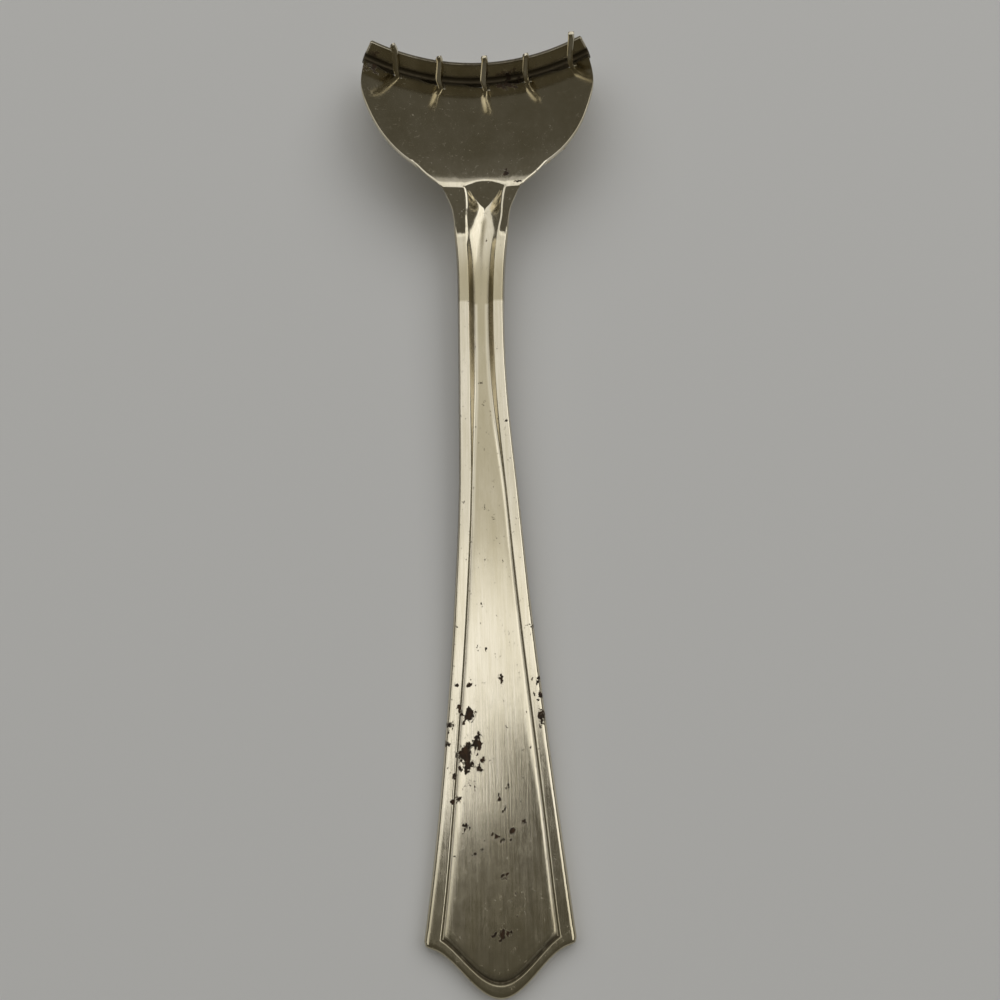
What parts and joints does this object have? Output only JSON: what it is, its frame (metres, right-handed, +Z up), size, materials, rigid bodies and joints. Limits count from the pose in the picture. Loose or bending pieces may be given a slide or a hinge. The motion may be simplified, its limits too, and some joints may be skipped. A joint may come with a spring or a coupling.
{
  "type": "corn slitter and scraper",
  "caption": "Pressed sheet-steel kitchen hand tool: fluted handle, dished scoop, and upright slitting teeth standing behind a bent-up scraping lip.",
  "frame": {"origin": "centre of the tool's box, on the surface that it rests on", "axes": "+Y from the handle end towards the scoop, +Z up with the hollow side of the scoop up, +X to the right"},
  "size_m": [0.0516, 0.1924, 0.0128],
  "materials": {
    "satin_plating": "worn warm nickel-toned plating with fine lengthwise brush marks, tarnish and rust pits",
    "polished_plating": "polished warm grey plating, almost a mirror, with grime along the crease and slots"
  },
  "bodies": {
    "root": {"handle": "satin_plating", "neck": "satin_plating", "scoop_plate": "polished_plating", "scraper_lip": "polished_plating", "slitting_tooth_1": "polished_plating", "slitting_tooth_2": "polished_plating", "slitting_tooth_3": "polished_plating", "slitting_tooth_4": "polished_plating", "slitting_tooth_5": "polished_plating"}
  },
  "joints": []
}
